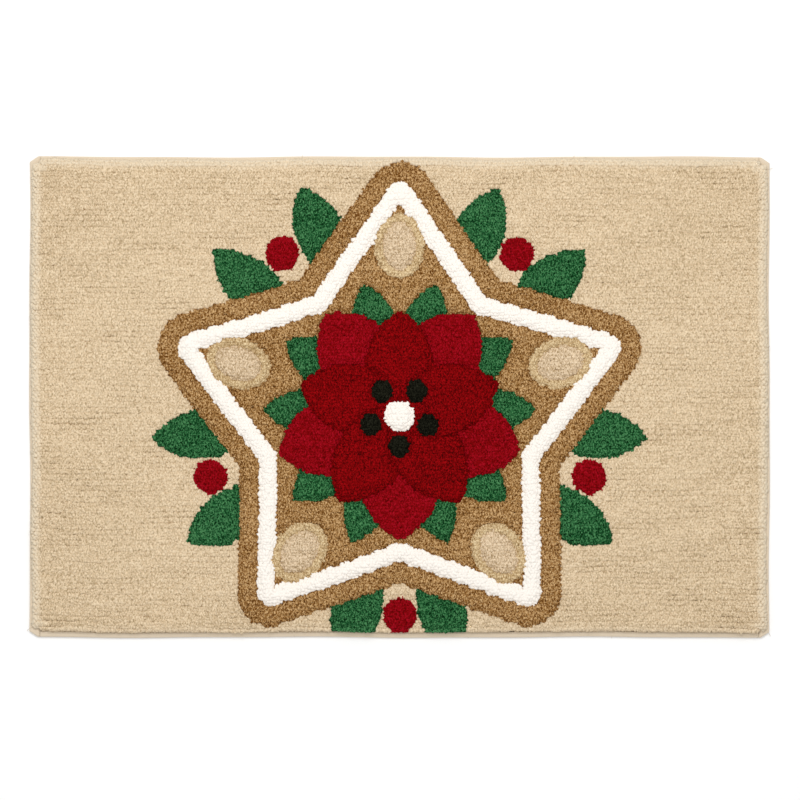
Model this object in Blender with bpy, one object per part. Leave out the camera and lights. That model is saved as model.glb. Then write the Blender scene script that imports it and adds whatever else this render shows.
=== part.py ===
"""Rectangular tufted rug: a cut-pile mat with a carved star, flower and leaves, bound with woven edge tape.

Run with: blender --background --python part.py. Units are metres, +Z is up.
The origin is on the floor under the rug's middle. +X is along the length, +Y points to the back edge.
"Inset" means a distance measured inwards from the rug's edge.
"""

from collections import namedtuple
from math import atan2, cos, pi, sin, sqrt, tau

import bpy
import numpy as np
from mathutils.geometry import delaunay_2d_cdt

MM = 0.001

# Whole rug, over the tape.
RUG_LENGTH = 770 * MM
RUG_WIDTH = 500 * MM
CLEARANCE = 0.3 * MM  # between the tape and the mat, and between the tapes

# Edge tape, folded round the edge: a narrow lip on top, a wide band underneath.
TAPE_THICKNESS = 1.0 * MM
TAPE_SLOT = 2.0 * MM  # between the lip and the band, where the backing lies
TAPE_LIP = 5.0 * MM
TAPE_BAND = 22.0 * MM
PATCH_LENGTH = 11.0 * MM  # plain corner patch, along X
PATCH_DEPTH = 9.0 * MM  # and along Y
MITRE_X = 9.0 * MM  # the corner that is cut off, along X
MITRE_Y = 6.0 * MM
TAPE_STEP = 26.0 * MM  # between two sections of a tape

# Mat.
BACKING_TOP = 2.7 * MM
PILE_GROUND = 8.8 * MM  # height of the plain pile over the backing
HEM_STEP = 3.0 * MM  # run of the step where the underside comes down beside the tape
GRID_STEP = 24.0 * MM
KEEP_OFF = 4.0 * MM  # no grid point is nearer than this to an outline

# The pile's rounded rim: height over the backing as a share of the plain pile, at depths from the pile's foot.
RimRow = namedtuple("RimRow", "depth share")
PILE_RIM = (
    RimRow(0.0 * MM, 0.00),
    RimRow(1.0 * MM, 0.55),
    RimRow(4.5 * MM, 0.88),
    RimRow(12.0 * MM, 1.00),
)

# The carved pattern.
MOTIF_Y = -19 * MM  # the star's centre
POINTS = 5
BEVEL = 3.5 * MM  # width of a carved slope
STAR_TIP = 226 * MM  # corners of the star before it is rounded out
STAR_NOTCH = 136 * MM
STAR_ROUND = 36 * MM
STAR_RAISE = 2.2 * MM
ICING_INSET = 30 * MM  # middle of the white line, inside the star's outline
ICING_HALF = 8.5 * MM
ICING_RAISE = 1.0 * MM  # over the star
FLOWER_RAISE = 1.2 * MM  # over the star
SPRIG_RAISE = 2.0 * MM  # over the plain pile
SPRIG_SPLAY = 0.22  # angle between a leaf and its berry, radians
BERRY_REACH = 207 * MM
BERRY_RADIUS = 18 * MM

# A leaf or petal is the lens where two circles cross. It starts at a distance from the star's centre.
Lens = namedtuple("Lens", "start length width")
SPRIG_LEAF = Lens(150 * MM, 108 * MM, 52 * MM)
LONG_PETAL = Lens(0 * MM, 130 * MM, 84 * MM)
SHORT_PETAL = Lens(-10 * MM, 118 * MM, 72 * MM)

# Slow waves of the cut edge and of the pile's top.
Wave = namedtuple("Wave", "length height phase")
SIDE_WAVES = (Wave(0.310, 0.50 * MM, 0.7), Wave(0.137, 0.25 * MM, 2.1))
OUT_OF_STEP = 90 * MM  # opposite sides wave this far apart
TOP_WAVES = (Wave(0.210, 0.30 * MM, 1.3), Wave(0.119, 0.20 * MM, 4.0))

# Colours, linear.
PILE_COLOUR = (0.69, 0.53, 0.35, 1.0)
TAPE_COLOUR = (0.65, 0.53, 0.38, 1.0)


# ---------------------------------------------------------------- forms of the pattern


def waves(run, rows):
    """Sum of the rows' sine waves at a distance."""
    return sum(row.height * np.sin(tau * run / row.length + row.phase) for row in rows)


def spoke(k):
    """Angle of the star's k-th tip; k + 0.5 is the notch after it."""
    return pi / 2 + k * tau / POINTS


def polar(radius, angle):
    """Plan point at a radius and angle from the star's centre."""
    return (radius * cos(angle), MOTIF_Y + radius * sin(angle))


def lens_circles(lens, angle):
    """Centres and radius of the two circles whose overlap is a leaf that points along an angle."""
    half = lens.length / 2
    wide = lens.width / 2
    radius = (half * half + wide * wide) / (2 * wide)
    middle = polar(lens.start + half, angle)
    shift = radius - wide
    across = (-sin(angle) * shift, cos(angle) * shift)
    ends = [(middle[0] + s * across[0], middle[1] + s * across[1]) for s in (-1, 1)]
    return ends, radius


def lens_distance(x, y, lens, angle):
    """Signed distance to a leaf's outline, negative inside: the farther circle decides."""
    ends, radius = lens_circles(lens, angle)
    reach = [np.hypot(x - cx, y - cy) for cx, cy in ends]
    return np.maximum(*reach) - radius


def lens_outline(lens, angle, inset, steps=6):
    """A leaf's outline drawn in by an inset: two arcs that meet at its ends."""
    ends, radius = lens_circles(lens, angle)
    radius -= inset
    shift = radius + inset - lens.width / 2
    half_turn = atan2(sqrt(radius * radius - shift * shift), shift)
    points = []
    for (cx, cy), facing in zip(ends, (angle + pi / 2, angle - pi / 2)):
        for i in range(steps):
            turn = facing - half_turn + 2 * half_turn * i / steps
            points.append((cx + radius * cos(turn), cy + radius * sin(turn)))
    return points


def circle_outline(centre, radius, steps=12):
    """A circle's outline."""
    return [(centre[0] + radius * cos(tau * i / steps), centre[1] + radius * sin(tau * i / steps)) for i in range(steps)]


def star_corners():
    """Corners of the star before it is rounded out: tips and notches in turn."""
    radii = (STAR_TIP, STAR_NOTCH)
    return [polar(radii[i % 2], spoke(i / 2)) for i in range(2 * POINTS)]


def star_distance(x, y):
    """Signed distance to the rounded star, negative inside: distance to the cornered star less the rounding."""
    corners = star_corners()
    nearest = np.full(np.shape(x), 9.0)
    inside = np.zeros(np.shape(x), bool)
    for (ax, ay), (bx, by) in zip(corners, corners[1:] + corners[:1]):
        ex, ey = bx - ax, by - ay
        along = np.clip(((x - ax) * ex + (y - ay) * ey) / (ex * ex + ey * ey), 0, 1)
        nearest = np.minimum(nearest, np.hypot(x - ax - along * ex, y - ay - along * ey))
        inside ^= ((ay > y) != (by > y)) & (((x - ax) * ey < (y - ay) * ex) == (ey > 0))
    return np.where(inside, -nearest, nearest) - STAR_ROUND


def star_outline(inset, steps=5):
    """The rounded star drawn in by an inset: an arc at each tip while any rounding is left, a corner at each notch."""
    swell = STAR_ROUND - inset
    part = pi / POINTS
    edge_at_tip = atan2(STAR_NOTCH * sin(part), STAR_TIP - STAR_NOTCH * cos(part))
    edge_at_notch = atan2(STAR_TIP * sin(part), STAR_TIP * cos(part) - STAR_NOTCH)
    points = []
    for k in range(POINTS):
        if swell > 0:
            tip = polar(STAR_TIP, spoke(k))
            half_turn = pi / 2 - edge_at_tip
            for i in range(steps + 1):
                turn = spoke(k) - half_turn + 2 * half_turn * i / steps
                points.append((tip[0] + swell * cos(turn), tip[1] + swell * sin(turn)))
        else:
            points.append(polar(STAR_TIP + swell / sin(edge_at_tip), spoke(k)))
        points.append(polar(STAR_NOTCH + swell / sin(edge_at_notch), spoke(k + 0.5)))
    return points


def petals():
    """Each petal's lens and angle: long ones towards the notches, short ones towards the tips."""
    long_ones = [(LONG_PETAL, spoke(k + 0.5)) for k in range(POINTS)]
    short_ones = [(SHORT_PETAL, spoke(k)) for k in range(POINTS)]
    return long_ones + short_ones


def sprig_leaves():
    """Each outer leaf's lens and angle: a pair beside every notch."""
    return [(SPRIG_LEAF, spoke(k + 0.5) + side * SPRIG_SPLAY) for k in range(POINTS) for side in (-1, 1)]


def berries():
    """Centres of the berries, one in every notch."""
    return [polar(BERRY_REACH, spoke(k + 0.5)) for k in range(POINTS)]


def petal_exit(lens, angle, turn, inset):
    """How far a ray from the star's centre runs before it leaves a petal: the nearer exit of its two circles."""
    ends, radius = lens_circles(lens, angle)
    exits = []
    for cx, cy in ends:
        along = cx * cos(turn) + (cy - MOTIF_Y) * sin(turn)
        off = cx * cx + (cy - MOTIF_Y) ** 2 - (radius - inset) ** 2
        inner = along * along - off
        exits.append(along + sqrt(inner) if inner > 0 else 0.0)
    return min(exits)


def flower_outline(inset, steps=6):
    """Outline of all petals together: on every ray from the centre, the petal that reaches farthest."""
    points = []
    for i in range(2 * POINTS * steps):
        turn = pi / 2 + tau * i / (2 * POINTS * steps)
        reach = max(petal_exit(lens, angle, turn, inset) for lens, angle in petals())
        points.append(polar(reach, turn))
    return points


# ---------------------------------------------------------------- the mat


def pile_depth(x, y):
    """Distance in from the pile's foot. The foot follows the tape's lip and steps round the corner patches."""
    foot = TAPE_LIP + CLEARANCE
    inset_x = RUG_LENGTH / 2 - np.abs(x)
    inset_y = RUG_WIDTH / 2 - np.abs(y)
    past_patch = np.maximum(inset_x - PATCH_LENGTH - 2 * CLEARANCE, inset_y - PATCH_DEPTH - 2 * CLEARANCE)
    return np.minimum(np.minimum(inset_x, inset_y) - foot, past_patch)


def slope(distance):
    """0 at a form's outline, 1 a bevel's width inside it."""
    return np.clip(-distance / BEVEL, 0, 1)


def relief(x, y):
    """Height of the carved pattern over the plain pile."""
    star = star_distance(x, y)
    icing = np.abs(star + ICING_INSET) - ICING_HALF
    flower = np.minimum.reduce([lens_distance(x, y, lens, angle) for lens, angle in petals()])
    cookie = STAR_RAISE * slope(star) + ICING_RAISE * slope(icing) + FLOWER_RAISE * slope(flower)
    leaves = np.minimum.reduce([lens_distance(x, y, lens, angle) for lens, angle in sprig_leaves()])
    balls = np.minimum.reduce([np.hypot(x - cx, y - cy) - BERRY_RADIUS for cx, cy in berries()])
    return np.maximum(cookie, SPRIG_RAISE * slope(np.minimum(leaves, balls)))


def pile_top(x, y):
    """Height of the mat's upper face: the backing, the rim, then slow waves and the carved pattern."""
    depth = pile_depth(x, y)
    share = np.interp(depth, [row.depth for row in PILE_RIM], [row.share for row in PILE_RIM])
    unevenness = waves(x + 0.6 * y, TOP_WAVES) + waves(y - 0.4 * x, TOP_WAVES)
    return BACKING_TOP + share * (PILE_GROUND + unevenness + relief(x, y))


def cut_side(start, end, step):
    """Points along a straight side, its first corner included, no farther apart than a step."""
    count = max(1, int(np.ceil(np.hypot(end[0] - start[0], end[1] - start[1]) / step)))
    share = np.arange(count)[:, None] / count
    return np.asarray(start) * (1 - share) + np.asarray(end) * share


def closed_outline(corners, step=TAPE_STEP):
    """A closed outline through corners, with its sides cut so that they can wave."""
    return np.concatenate([cut_side(a, b, step) for a, b in zip(corners, corners[1:] + corners[:1])])


def mirrored_corners(insets):
    """One corner's points, given as insets from the side and from the end, laid at all four corners in turn."""
    half_x, half_y = RUG_LENGTH / 2, RUG_WIDTH / 2
    corners = []
    for sx, sy in ((-1, 1), (1, 1), (1, -1), (-1, -1)):
        points = [(sx * (half_x - u), sy * (half_y - v)) for u, v in insets]
        corners += points if sx == sy * -1 else points[::-1]
    return corners


def margin_outline():
    """Outline of the bare backing inside the tape, with its corners cut off."""
    edge = TAPE_THICKNESS + CLEARANCE
    slant = MITRE_X / MITRE_Y
    offset = TAPE_THICKNESS + 2 * CLEARANCE
    at_side = (edge, MITRE_Y + (offset - edge) / slant)
    at_end = (MITRE_X + offset - edge * slant, edge)
    return closed_outline(mirrored_corners([at_side, at_end]))


def rim_outline(depth):
    """Outline at a depth from the pile's foot, stepping round the corner patches."""
    side = TAPE_LIP + CLEARANCE + depth
    patch_x = PATCH_LENGTH + 2 * CLEARANCE + depth
    patch_y = PATCH_DEPTH + 2 * CLEARANCE + depth
    return closed_outline(mirrored_corners([(side, patch_y), (patch_x, patch_y), (patch_x, side)]))


def pattern_outlines():
    """Foot and shoulder outlines of every carved form."""
    loops = [star_outline(inset) for inset in (0, BEVEL)]
    line_edges = (ICING_INSET - ICING_HALF, ICING_INSET + ICING_HALF)
    loops += [star_outline(line_edges[0] + inset) for inset in (0, BEVEL)]
    loops += [star_outline(line_edges[1] - inset) for inset in (0, BEVEL)]
    loops += [flower_outline(inset) for inset in (0, BEVEL)]
    loops += [lens_outline(lens, angle, inset) for lens, angle in sprig_leaves() for inset in (0, BEVEL)]
    loops += [circle_outline(centre, BERRY_RADIUS - inset) for centre in berries() for inset in (0, BEVEL)]
    return loops


def grid_points(outlines):
    """Points on an even grid over the pile, none close to an outline."""
    half_x, half_y = RUG_LENGTH / 2 - GRID_STEP, RUG_WIDTH / 2 - GRID_STEP
    xs = np.linspace(-half_x, half_x, int(2 * half_x / GRID_STEP) + 1)
    ys = np.linspace(-half_y, half_y, int(2 * half_y / GRID_STEP) + 1)
    grid = np.stack(np.meshgrid(xs, ys), -1).reshape(-1, 2)
    nearest = np.full(len(grid), 9.0)
    for outline in outlines:
        for start, end in zip(outline, np.roll(outline, -1, 0)):
            side = end - start
            along = np.clip((grid - start) @ side / (side @ side), 0, 1)
            nearest = np.minimum(nearest, np.linalg.norm(grid - start - along[:, None] * side, axis=1))
    return grid[nearest > KEEP_OFF]


def joined(outline):
    """Edges of a closed outline, as pairs of places in it."""
    here = np.arange(len(outline))
    return np.stack([here, np.roll(here, -1)], 1)


def fill(border, outlines, loose):
    """Triangles over a border, with every outline as an edge. The border's own points come first in the result."""
    points = [border]
    edges = [joined(border)]
    start = len(border)
    for outline in outlines:
        kept = pile_depth(outline[:, 0], outline[:, 1]) > -CLEARANCE
        pairs = joined(outline)
        pairs = pairs[kept[pairs].all(1)]
        points.append(outline)
        edges.append(pairs + start)
        start += len(outline)
    points.append(loose)
    plan = np.concatenate(points)
    inside = np.ones(len(plan), bool)
    inside[len(border):] = pile_depth(plan[len(border):, 0], plan[len(border):, 1]) > -CLEARANCE
    place = np.cumsum(inside) - 1
    lines = place[np.concatenate(edges)]
    plan = plan[inside]
    verts, _, faces, origins, _, _ = delaunay_2d_cdt(plan.tolist(), lines.tolist(), [], 1, 1e-7)
    return np.array([v[:] for v in verts]), faces, origins


def build_mat():
    """The mat: a pile top and a stepped underside, filled in plan and lifted, joined round the backing's edge."""
    border = margin_outline()
    rims = [rim_outline(row.depth) for row in PILE_RIM]
    forms = [np.array(loop) for loop in pattern_outlines()]
    top_plan, top_faces, top_from = fill(border, rims + forms, grid_points(rims + forms))
    top_z = np.where(
        pile_depth(top_plan[:, 0], top_plan[:, 1]) > 0, pile_top(top_plan[:, 0], top_plan[:, 1]), BACKING_TOP
    )

    band_edge = TAPE_BAND + 2 * CLEARANCE
    steps = [closed_outline(mirrored_corners([(inset, inset)])) for inset in (band_edge, band_edge + HEM_STEP)]
    low_plan, low_faces, low_from = fill(border, steps, np.empty((0, 2)))
    inset = np.minimum(RUG_LENGTH / 2 - np.abs(low_plan[:, 0]), RUG_WIDTH / 2 - np.abs(low_plan[:, 1]))
    over_tape = TAPE_THICKNESS + CLEARANCE
    low_z = np.interp(inset, [band_edge, band_edge + HEM_STEP], [over_tape, 0.0])

    shift = len(top_plan)
    top_edge = border_places(top_from, len(border))
    low_edge = [place + shift for place in border_places(low_from, len(border))]
    walls = []
    for here in range(len(border)):
        there = (here + 1) % len(border)
        walls.append((top_edge[here], top_edge[there], low_edge[there], low_edge[here]))
    faces = list(top_faces) + [[i + shift for i in face[::-1]] for face in low_faces] + walls
    points = np.concatenate([np.column_stack([top_plan, top_z]), np.column_stack([low_plan, low_z])])
    return add_piece("tufted_mat", points, faces, "cut_pile", PILE_COLOUR)


def border_places(origins, count):
    """Where each of the border's points went in a fill."""
    places = [0] * count
    for place, sources in enumerate(origins):
        for source in sources:
            if source < count:
                places[source] = place
    return places


# ---------------------------------------------------------------- the tapes


def stations(first, marks, length):
    """Distances along a tape from its first end: the marks near each end, and even steps between them."""
    near = [first] + marks
    middle_start = near[-1]
    count = int(np.ceil((length - 2 * middle_start) / TAPE_STEP))
    middle = np.linspace(middle_start, length - middle_start, count + 1)[1:-1]
    far = [length - mark for mark in reversed(near)]
    return near + list(middle) + far


def tape_section(outer, lip, band):
    """Section of a folded tape, as inset and height: outer face, band underneath, slot for the backing, lip on top."""
    web = outer + TAPE_THICKNESS
    slot_low = TAPE_THICKNESS
    slot_high = slot_low + TAPE_SLOT
    top = slot_high + TAPE_THICKNESS
    return [
        (outer, 0.0), (band, 0.0), (band, slot_low), (web, slot_low),
        (web, slot_high), (lip, slot_high), (lip, top), (outer, top),
    ]


def side_tape(name, side):
    """Tape of a short side, at X times side. Its ends carry the corner patches and are cut off at a slant."""
    band_start = PATCH_LENGTH
    band_delay = TAPE_THICKNESS + 2 * CLEARANCE
    band_full = TAPE_BAND - band_start + band_delay
    marks = [band_delay, MITRE_Y, PATCH_DEPTH, PATCH_DEPTH + 0.2 * MM, band_full]
    rows = []
    for run in stations(0.0, marks, RUG_WIDTH):
        end = min(run, RUG_WIDTH - run)
        outer = MITRE_X * max(0.0, 1 - end / MITRE_Y)
        lip = PATCH_LENGTH if end <= PATCH_DEPTH + 0.01 * MM else TAPE_LIP
        band = min(TAPE_BAND, band_start + max(0.0, end - band_delay))
        section = tape_section(outer, lip, band)
        rows.append([(side * (RUG_LENGTH / 2 - inset), run - RUG_WIDTH / 2, z) for inset, z in section])
    return add_tape(name, rows, side < 0)


def end_tape(name, side):
    """Tape of a long side, at Y times side. It stops short of the corner patches."""
    first = PATCH_LENGTH + CLEARANCE
    band_full = first + TAPE_BAND - TAPE_THICKNESS - CLEARANCE
    rows = []
    for run in stations(first, [band_full], RUG_LENGTH):
        end = min(run, RUG_LENGTH - run)
        band = min(TAPE_BAND, end - first + TAPE_THICKNESS + CLEARANCE)
        section = tape_section(0.0, TAPE_LIP, band)
        rows.append([(run - RUG_LENGTH / 2, side * (RUG_WIDTH / 2 - inset), z) for inset, z in section])
    return add_tape(name, rows, side > 0)


def add_tape(name, rows, flip):
    """Joins a tape's sections into one closed body."""
    count = len(rows[0])
    points = [point for row in rows for point in row]
    faces = []
    for r in range(len(rows) - 1):
        for i in range(count):
            j = (i + 1) % count
            faces.append((r * count + i, r * count + j, (r + 1) * count + j, (r + 1) * count + i))
    last = (len(rows) - 1) * count
    # Each end is the U of the section: outer wall, band and lip.
    for a, b, c, d in ((0, 1, 2, 3), (0, 3, 4, 7), (4, 5, 6, 7)):
        faces.append((d, c, b, a))
        faces.append((last + a, last + b, last + c, last + d))
    if flip:
        faces = [face[::-1] for face in faces]
    return add_piece(name, np.array(points), faces, "edge_tape", TAPE_COLOUR)


# ---------------------------------------------------------------- building


def waved(points):
    """Points moved by the slow waves of the rug's sides, which fade towards its middle lines."""
    x, y, z = points.T
    out_x = x * (1 + waves(y + OUT_OF_STEP * (x > 0), SIDE_WAVES) / (RUG_LENGTH / 2))
    out_y = y * (1 + waves(x + OUT_OF_STEP * (y > 0), SIDE_WAVES) / (RUG_WIDTH / 2))
    return np.column_stack([out_x, out_y, z])


def cloth_material(name, colour):
    """Rough, plain cloth."""
    material = bpy.data.materials.get(name) or bpy.data.materials.new(name)
    material.use_nodes = True
    shader = material.node_tree.nodes["Principled BSDF"]
    shader.inputs["Base Color"].default_value = colour
    shader.inputs["Roughness"].default_value = 0.95
    shader.inputs["Metallic"].default_value = 0.0
    return material


def add_piece(name, points, faces, material, colour):
    """An object from points and faces, waved as the whole rug is."""
    mesh = bpy.data.meshes.new(name)
    mesh.from_pydata(waved(points).tolist(), [], [tuple(face) for face in faces])
    mesh.validate()
    mesh.materials.append(cloth_material(material, colour))
    piece = bpy.data.objects.new(name, mesh)
    bpy.context.collection.objects.link(piece)
    return piece


def clear_scene():
    """Removes what a new file holds."""
    for thing in list(bpy.data.objects):
        bpy.data.objects.remove(thing)


clear_scene()
build_mat()
side_tape("tape_left", -1)
side_tape("tape_right", 1)
end_tape("tape_back", 1)
end_tape("tape_front", -1)
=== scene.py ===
# %% [markdown]
# # A tufted rug, yarn end by yarn end
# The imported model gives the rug's true size and place: a mat with its pile as one carved slab, and four
# strips of edge tape. This lesson dresses it. Each step first says what the thing is on a real rug, then
# how it is made here.

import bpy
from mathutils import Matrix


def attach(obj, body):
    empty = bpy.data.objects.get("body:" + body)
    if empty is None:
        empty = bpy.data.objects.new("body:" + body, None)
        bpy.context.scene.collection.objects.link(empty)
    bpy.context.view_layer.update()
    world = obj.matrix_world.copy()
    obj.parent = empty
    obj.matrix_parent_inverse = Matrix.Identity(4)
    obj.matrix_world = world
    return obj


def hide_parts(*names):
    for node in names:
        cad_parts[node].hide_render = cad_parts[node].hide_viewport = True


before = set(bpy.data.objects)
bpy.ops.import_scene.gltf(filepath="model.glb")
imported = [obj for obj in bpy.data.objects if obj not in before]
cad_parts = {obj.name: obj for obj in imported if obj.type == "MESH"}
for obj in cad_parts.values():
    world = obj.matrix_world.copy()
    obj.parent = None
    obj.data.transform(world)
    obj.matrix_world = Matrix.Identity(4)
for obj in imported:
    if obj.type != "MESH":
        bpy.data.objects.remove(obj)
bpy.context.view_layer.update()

from collections import namedtuple
from math import atan2, ceil, cos, pi, sin, tau

import bpy
import numpy as np

MM = 0.001

# %% [markdown]
# ## Sizes
# The solids were made from a few driving sizes. The same ones are named here, so that every yarn stands
# where the solids have pile. An inset is a distance inwards from the rug's edge.

# %% Driving sizes
RUG_LENGTH = 770 * MM
RUG_WIDTH = 500 * MM
HALF_LENGTH = RUG_LENGTH / 2
HALF_WIDTH = RUG_WIDTH / 2
CLEARANCE = 0.3 * MM
TAPE_THICKNESS = 0.9 * MM
TAPE_HEIGHT = 4.0 * MM
TAPE_LIP = 5.0 * MM
TAPE_BAND = 22.0 * MM
PATCH_LENGTH = 11.0 * MM
PATCH_DEPTH = 9.0 * MM
MITRE_X = 9.0 * MM
MITRE_Y = 6.0 * MM
BACKING_LOW = 1.4 * MM
BACKING_TOP = 2.7 * MM
PILE_GROUND = 8.8 * MM

# %% [markdown]
# ## Nothing on a rug is quite straight
# The cut edge and the pile's top both wander by half a millimetre or more. A sum of two sine waves is enough
# for that. It is one function of the plan, applied to everything, so that tape, backing and pile stay
# together. Finer unevenness comes from a cloud of twelve sine waves.

# %% Slow waves
Wave = namedtuple("Wave", "length height phase")
SIDE_WAVES = (Wave(0.310, 0.50 * MM, 0.7), Wave(0.137, 0.25 * MM, 2.1))
TOP_WAVES = (Wave(0.210, 0.30 * MM, 1.3), Wave(0.119, 0.20 * MM, 4.0))
OUT_OF_STEP = 90 * MM
CLOUD_WAVES = 12


def waves(run, rows):
    """Sum over the rows of height * sin(2 pi run / length + phase)."""
    return sum(row.height * np.sin(tau * run / row.length + row.phase) for row in rows)


def waved(points):
    """Points whose x is stretched by 1 + wave(y) / half length, and y by 1 + wave(x) / half width."""
    x, y, z = points.T
    out_x = x * (1 + waves(y + OUT_OF_STEP * (x > 0), SIDE_WAVES) / HALF_LENGTH)
    out_y = y * (1 + waves(x + OUT_OF_STEP * (y > 0), SIDE_WAVES) / HALF_WIDTH)
    return np.column_stack([out_x, out_y, z])


def cloud(x, y, size, seed):
    """Smooth noise near -1 to 1: a quarter of the sum of twelve plane waves, each about one size long."""
    draw = np.random.default_rng(seed)
    turns = draw.uniform(0, tau, CLOUD_WAVES)
    sizes = size * draw.uniform(0.7, 1.5, CLOUD_WAVES)
    phases = draw.uniform(0, tau, CLOUD_WAVES)
    total = np.zeros(np.shape(x))
    for turn, length, phase in zip(turns, sizes, phases):
        total += np.sin(tau * (x * cos(turn) + y * sin(turn)) / length + phase)
    return total / 4


print("The sides wave by up to", round(sum(row.height for row in SIDE_WAVES) / MM, 2), "mm")

# %% [markdown]
# ## The pattern as distances
# A tufting machine changes yarn from stitch to stitch, so a pattern answers one question at every stitch:
# which form am I in? Signed distances answer it: negative inside, positive outside. A star, a lens for a
# leaf or petal, a disc and an oval are short formulas. They are plain, traditional motifs, and a loop
# repeats them five times.

# %% Star, lens and disc
MOTIF_Y = -19 * MM
POINTS = 5
STAR_TIP = 226 * MM
STAR_NOTCH = 136 * MM
STAR_ROUND = 36 * MM
Lens = namedtuple("Lens", "start length width")


def spoke(k):
    """Angle of the k-th tip, with k + 0.5 for the notch after it."""
    return pi / 2 + k * tau / POINTS


def polar(radius, angle):
    """Plan point at a radius and angle from the star's centre."""
    return radius * cos(angle), MOTIF_Y + radius * sin(angle)


def star(x, y):
    """Distance to a cornered star, negative inside it, less the radius that rounds it out."""
    corners = [polar((STAR_TIP, STAR_NOTCH)[i % 2], spoke(i / 2)) for i in range(2 * POINTS)]
    nearest = np.full(np.shape(x), np.inf)
    inside = np.zeros(np.shape(x), bool)
    for (ax, ay), (bx, by) in zip(corners, corners[1:] + corners[:1]):
        ex, ey = bx - ax, by - ay
        along = np.clip(((x - ax) * ex + (y - ay) * ey) / (ex * ex + ey * ey), 0, 1)
        nearest = np.minimum(nearest, np.hypot(x - ax - along * ex, y - ay - along * ey))
        inside ^= ((ay > y) != (by > y)) & (((x - ax) * ey < (y - ay) * ex) == (ey > 0))
    return np.where(inside, -nearest, nearest) - STAR_ROUND


def lens(shape, angle):
    """A leaf's distance: the farther of two circles' centres, less their radius."""
    half, wide = shape.length / 2, shape.width / 2
    radius = (half * half + wide * wide) / (2 * wide)
    mx, my = polar(shape.start + half, angle)
    sx, sy = -sin(angle) * (radius - wide), cos(angle) * (radius - wide)

    def distance(x, y):
        to_one = np.hypot(x - mx - sx, y - my - sy)
        to_other = np.hypot(x - mx + sx, y - my + sy)
        return np.maximum(to_one, to_other) - radius

    return distance


def disc(reach, angle, radius):
    """A disc's distance: from its centre, less its radius."""
    cx, cy = polar(reach, angle)
    return lambda x, y: np.hypot(x - cx, y - cy) - radius


def oval(reach, angle, along, across):
    """An oval's rough distance: how far the scaled radius is past 1, times the smaller half-width."""
    cx, cy = polar(reach, angle)
    ux, uy = cos(angle), sin(angle)

    def distance(x, y):
        run = ((x - cx) * ux + (y - cy) * uy) / along
        side = ((y - cy) * ux - (x - cx) * uy) / across
        return (np.hypot(run, side) - 1) * min(along, across)

    return distance


print("Star's notches lie", round(STAR_NOTCH / STAR_TIP, 2), "of the way out to its tips")

# %% [markdown]
# ## The table of forms
# Each row is a form: its yarn, how far its pile stands over the plain pile, and its distance. A later row
# covers an earlier one, as a poinsettia's short petals lie over its long ones.

# %% Forms
SPRIG_LEAF = Lens(150 * MM, 108 * MM, 52 * MM)
INNER_LEAF = Lens(30 * MM, 112 * MM, 50 * MM)
LONG_PETAL = Lens(0 * MM, 130 * MM, 84 * MM)
SHORT_PETAL = Lens(-10 * MM, 118 * MM, 72 * MM)
SPRIG_SPLAY = 0.22
INNER_SPLAY = 0.27
TRIM_INSET = 30 * MM
TRIM_HALF = 8.5 * MM
OVAL_REACH = 176 * MM
SAND_HALVES = (34 * MM, 26.5 * MM)
CREAM_HALVES = (25 * MM, 17.5 * MM)
BERRY_REACH = 207 * MM
BERRY_RADIUS = 18 * MM
DOT_REACH = 31 * MM
DOT_RADIUS = 11.5 * MM
CENTRE_RADIUS = 15 * MM
HALF_STEP = pi / POINTS

# How far the pile stands over the plain pile
SPRIG_RAISE = 2.0 * MM
STAR_RAISE = 2.2 * MM
TRIM_RAISE = STAR_RAISE + 1.0 * MM
INNER_RAISE = STAR_RAISE + 0.4 * MM
PETAL_RAISE = STAR_RAISE + 1.2 * MM
CENTRE_RAISE = STAR_RAISE + 1.6 * MM
Form = namedtuple("Form", "yarn height distance")


def around(yarn, height, make, turn=0.0):
    """The same form at every tip, or turned on from there."""
    return [Form(yarn, height, make(spoke(k) + turn)) for k in range(POINTS)]


def star_trim(x, y):
    """The trim's distance: how far the star's distance is from the trim's inset, less half its width."""
    return np.abs(star(x, y) + TRIM_INSET) - TRIM_HALF


FORMS = []
for splay in (-SPRIG_SPLAY, SPRIG_SPLAY):
    FORMS += around("green", SPRIG_RAISE, lambda a: lens(SPRIG_LEAF, a), HALF_STEP + splay)
FORMS.append(Form("brown", STAR_RAISE, star))
FORMS.append(Form("white", TRIM_RAISE, star_trim))
FORMS += around("sand", STAR_RAISE, lambda a: oval(OVAL_REACH, a, *SAND_HALVES))
FORMS += around("cream", STAR_RAISE, lambda a: oval(OVAL_REACH, a, *CREAM_HALVES))
FORMS += around("red", SPRIG_RAISE, lambda a: disc(BERRY_REACH, a, BERRY_RADIUS), HALF_STEP)
for splay in (-INNER_SPLAY, INNER_SPLAY):
    FORMS += around("green", INNER_RAISE, lambda a: lens(INNER_LEAF, a), splay)
FORMS += around("red", PETAL_RAISE, lambda a: lens(LONG_PETAL, a), HALF_STEP)
FORMS += around("dark_red", PETAL_RAISE, lambda a: lens(SHORT_PETAL, a))
FORMS += around("black", PETAL_RAISE, lambda a: disc(DOT_REACH, a, DOT_RADIUS), HALF_STEP)
FORMS.append(Form("white", CENTRE_RAISE, disc(0.0, 0.0, CENTRE_RADIUS)))


def form_at(x, y):
    """Number of the topmost form at each point, from 1, or 0 on the plain pile."""
    found = np.zeros(np.shape(x), int)
    for number, form in enumerate(FORMS, 1):
        found[form.distance(x, y) < 0] = number
    return found


print(len(FORMS), "forms in", len({form.yarn for form in FORMS}), "yarns")

# %% [markdown]
# ## How high the pile stands
# Tufts are cut level, then shears carve a soft groove along every border between colours. Its depth needs
# to know how near another form is. Asking the same question at points in two rings round each yarn end, and
# counting the answers that differ, gives the nearness and the way to lean.

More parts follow.
